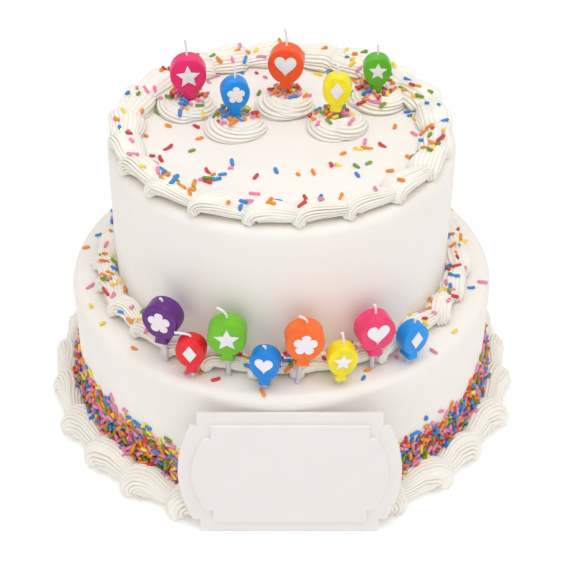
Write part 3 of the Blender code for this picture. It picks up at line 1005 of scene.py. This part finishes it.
def softbox(name, place, aim, width, height, watts):
    """A rectangular lamp at a place, turned to its aim."""
    light = bpy.data.lights.new(name, "AREA")
    light.shape = "RECTANGLE"
    light.size, light.size_y = width, height
    light.energy = watts
    obj = bpy.data.objects.new(name, light)
    bpy.context.scene.collection.objects.link(obj)
    obj.location = place
    obj.rotation_euler = (Vector(aim) - Vector(place)).to_track_quat("-Z", "Y").to_euler()


def stage():
    """The floor, the lights and the camera."""
    scene = bpy.context.scene
    mesh = bpy.data.meshes.new("floor")
    mesh.from_pydata([(-4, -4, 0), (4, -4, 0), (4, 6, 0), (-4, 6, 0)], [], [(0, 1, 2, 3)])
    floor = bpy.data.objects.new("floor", mesh)
    scene.collection.objects.link(floor)
    floor.location.z = -0.4 * MM
    look, _, base = shader("pale_floor")
    base.inputs["Base Color"].default_value = (0.97, 0.97, 0.975, 1)
    base.inputs["Roughness"].default_value = 0.9
    base.inputs["Emission Color"].default_value = (1, 1, 1, 1)
    base.inputs["Emission Strength"].default_value = 0.17
    mesh.materials.append(look)

    world = bpy.data.worlds.new("studio")
    world.use_nodes = True
    world.node_tree.nodes["Background"].inputs["Color"].default_value = (1.0, 0.99, 0.98, 1)
    world.node_tree.nodes["Background"].inputs["Strength"].default_value = 0.60
    scene.world = world

    for name, *setting in SOFTBOXES:
        softbox(name, *setting)

    ahead = Vector((0, math.cos(CAMERA_PITCH), -math.sin(CAMERA_PITCH)))
    lens = bpy.data.cameras.new("camera")
    lens.sensor_width = 36
    lens.lens = FOCAL_PIXELS / PHOTO_WIDTH * lens.sensor_width
    lens.shift_x = SHIFT_PIXELS / PHOTO_WIDTH
    lens.clip_start = 0.05
    camera = bpy.data.objects.new("camera", lens)
    scene.collection.objects.link(camera)
    camera.location = Vector((0, 0, CAMERA_AIM)) - ahead * CAMERA_REACH
    camera.rotation_euler = ahead.to_track_quat("-Z", "Y").to_euler()
    scene.camera = camera
    scene.view_settings.view_transform = "Standard"


def main():
    stage()
    lower = tier("lower_tier_icing", "lower_tier", LOWER_RADIUS, 0, LOWER_HEIGHT, seed=3)
    upper_height = UPPER_TOP - UPPER_FLOOR
    upper = tier("upper_tier_icing", "upper_tier", UPPER_RADIUS, UPPER_FLOOR, upper_height, seed=5)
    base = ring_of_shells(
        "base_shells", "base_border", BASE_SHELLS, BASE_PHASE, LOWER_RADIUS + 7.6 * MM, 0,
        (22 * MM, 20.5 * MM), seed=11, teeth=24, depth=0.14, hook=0.42, swell=1.0, lobes=0.10,
        mirrored=True, fit=behind_plaque,
    )
    shelf = ring_of_shells(
        "shelf_shells", "shelf_border", SHELF_SHELLS, SHELF_PHASE, UPPER_RADIUS + 5 * MM,
        LOWER_HEIGHT + PIPING_GAP, (20.5 * MM, 12.5 * MM), seed=12, teeth=20, depth=0.14, hook=0.28,
        swell=0.8, lobes=0.05,
    )
    rim = ring_of_shells(
        "rim_shells", "rim_border", RIM_SHELLS, RIM_PHASE, RIM_MID_RADIUS, UPPER_TOP + PIPING_GAP,
        (22 * MM, 11.5 * MM), seed=13, teeth=20, depth=0.16, hook=0.18, swell=0.8, lobes=0.05,
    )
    swirls = []
    for n, (x, y) in enumerate(ROSETTE_PLACES):
        swirls.append(rosette(f"swirl_{n + 1}", f"rosette_{n + 1}", x, y, seed=20 + n))

    for name, (size, angle, radius, facing, bare, lean, end, kind) in SHELF_CANDLES.items():
        foot = polar(radius * MM, math.radians(angle), LOWER_HEIGHT)
        candle(name, size, foot, facing, lean, bare * MM, end, kind)
    for name, (size, spot, facing, bare, lean, end, kind) in ROSETTE_CANDLES.items():
        foot = Vector((spot[0] * MM, spot[1] * MM, UPPER_TOP + 0.3 * MM + ROSETTE_HEIGHT))
        candle(name, size, foot, facing, lean, bare * MM, end, kind)
    plaque()

    strands = Strands(seed=5)
    lay_band(surface([lower, base]), strands)
    ceiling = UPPER_TOP + 60 * MM
    spacing = Spacing(3.2 * MM)
    rim_tree = surface([rim, upper, *swirls])
    lay_ring(rim_tree, strands, spacing, ceiling, count=130, low=79 * MM, high=99 * MM, clusters=0.45)
    lay_ring(rim_tree, strands, spacing, ceiling, count=44, low=40 * MM, high=79 * MM, clusters=0.3)
    ceiling = LOWER_HEIGHT + 60 * MM
    shelf_tree = surface([shelf, lower])
    spacing = Spacing(2.8 * MM)
    lay_ring(shelf_tree, strands, spacing, ceiling, count=180, low=106.5 * MM, high=119 * MM, clusters=0.45)
    spacing = Spacing(5 * MM)
    lay_ring(shelf_tree, strands, spacing, ceiling, count=26, low=119 * MM, high=130 * MM, clusters=0.1)
    for (_, spot, _, bare, *_), swirl in zip(ROSETTE_CANDLES.values(), swirls):
        clear_of_candle = 5.6 if bare < 2 else 3.4
        lay_rosette(surface([swirl]), strands, spot, clear_of_candle, count=27)
    strands.finish()
    print("strands", strands.total)


main()
